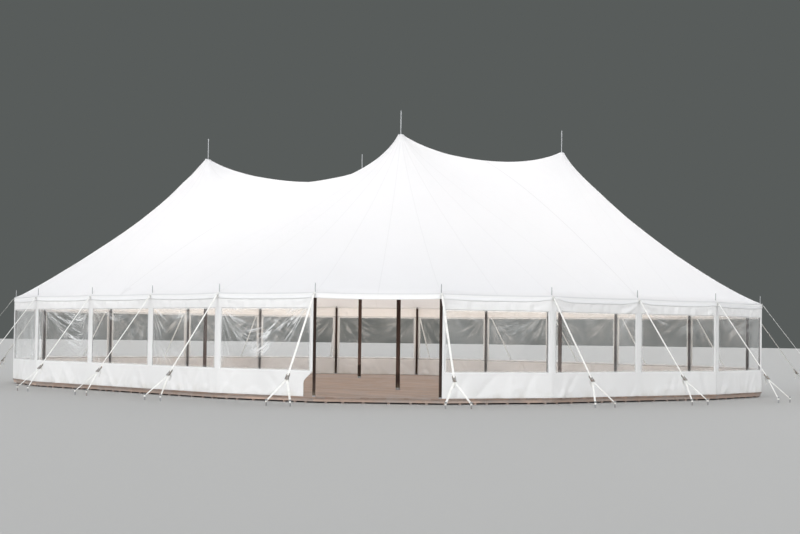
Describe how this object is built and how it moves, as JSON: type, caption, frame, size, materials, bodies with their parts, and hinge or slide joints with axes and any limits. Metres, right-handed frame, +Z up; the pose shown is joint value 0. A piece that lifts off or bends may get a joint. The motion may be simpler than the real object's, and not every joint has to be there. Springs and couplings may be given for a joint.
{
  "type": "pole marquee tent",
  "caption": "White tensioned pole marquee with peaked roof, clear-window walls, an open corner entrance, strap guys and a low timber platform.",
  "frame": {"origin": "ground level, in the middle of the plan with its stakes", "axes": "+X along the long side, +Z up; the open entrance bay is in the rounded corner at +X, -Y"},
  "size_m": [25.699, 22.419, 7.87],
  "materials": {
    "roof_fabric": "white coated canvas, satin",
    "wall_fabric": "white coated canvas, satin",
    "clear_vinyl": "clear soft vinyl, glossy and wrinkled",
    "pole_wood": "dark brown stain, satin",
    "strap_webbing": "cream woven webbing",
    "galvanised_steel": "galvanised, dull",
    "ratchet_steel": "dark weathered steel",
    "platform_timber": "weathered rough-sawn boards"
  },
  "bodies": {
    "root": {"centre_pole_front": "pole_wood", "centre_pole_right": "pole_wood", "centre_pole_back": "pole_wood", "centre_pole_left": "pole_wood", "side_pole_01": "pole_wood", "side_pole_02": "pole_wood", "side_pole_03": "pole_wood", "side_pole_04": "pole_wood", "side_pole_05": "pole_wood", "side_pole_06": "pole_wood", "side_pole_07": "pole_wood", "side_pole_08": "pole_wood", "side_pole_09": "pole_wood", "side_pole_10": "pole_wood", "side_pole_11": "pole_wood", "side_pole_12": "pole_wood", "side_pole_13": "pole_wood", "side_pole_14": "pole_wood", "side_pole_15": "pole_wood", "side_pole_16": "pole_wood", "side_pole_17": "pole_wood", "side_pole_18": "pole_wood", "side_pole_19": "pole_wood", "side_pole_20": "pole_wood", "side_pole_21": "pole_wood", "side_pole_22": "pole_wood", "wall_entrance_right": "wall_fabric", "wall_right_corner": "wall_fabric", "wall_back": "wall_fabric", "wall_back_corner": "wall_fabric", "wall_left_end": "wall_fabric", "wall_left_corner": "wall_fabric", "wall_entrance_left": "wall_fabric", "windows_right": "clear_vinyl", "windows_back": "clear_vinyl", "windows_left": "clear_vinyl", "windows_front": "clear_vinyl", "roof_right_half": "roof_fabric", "roof_left_half": "roof_fabric", "guys_right": "strap_webbing", "guys_back": "strap_webbing", "guys_left": "strap_webbing", "guys_front": "strap_webbing", "platform_boards": "platform_timber", "platform_frame": "platform_timber"}
  },
  "joints": []
}
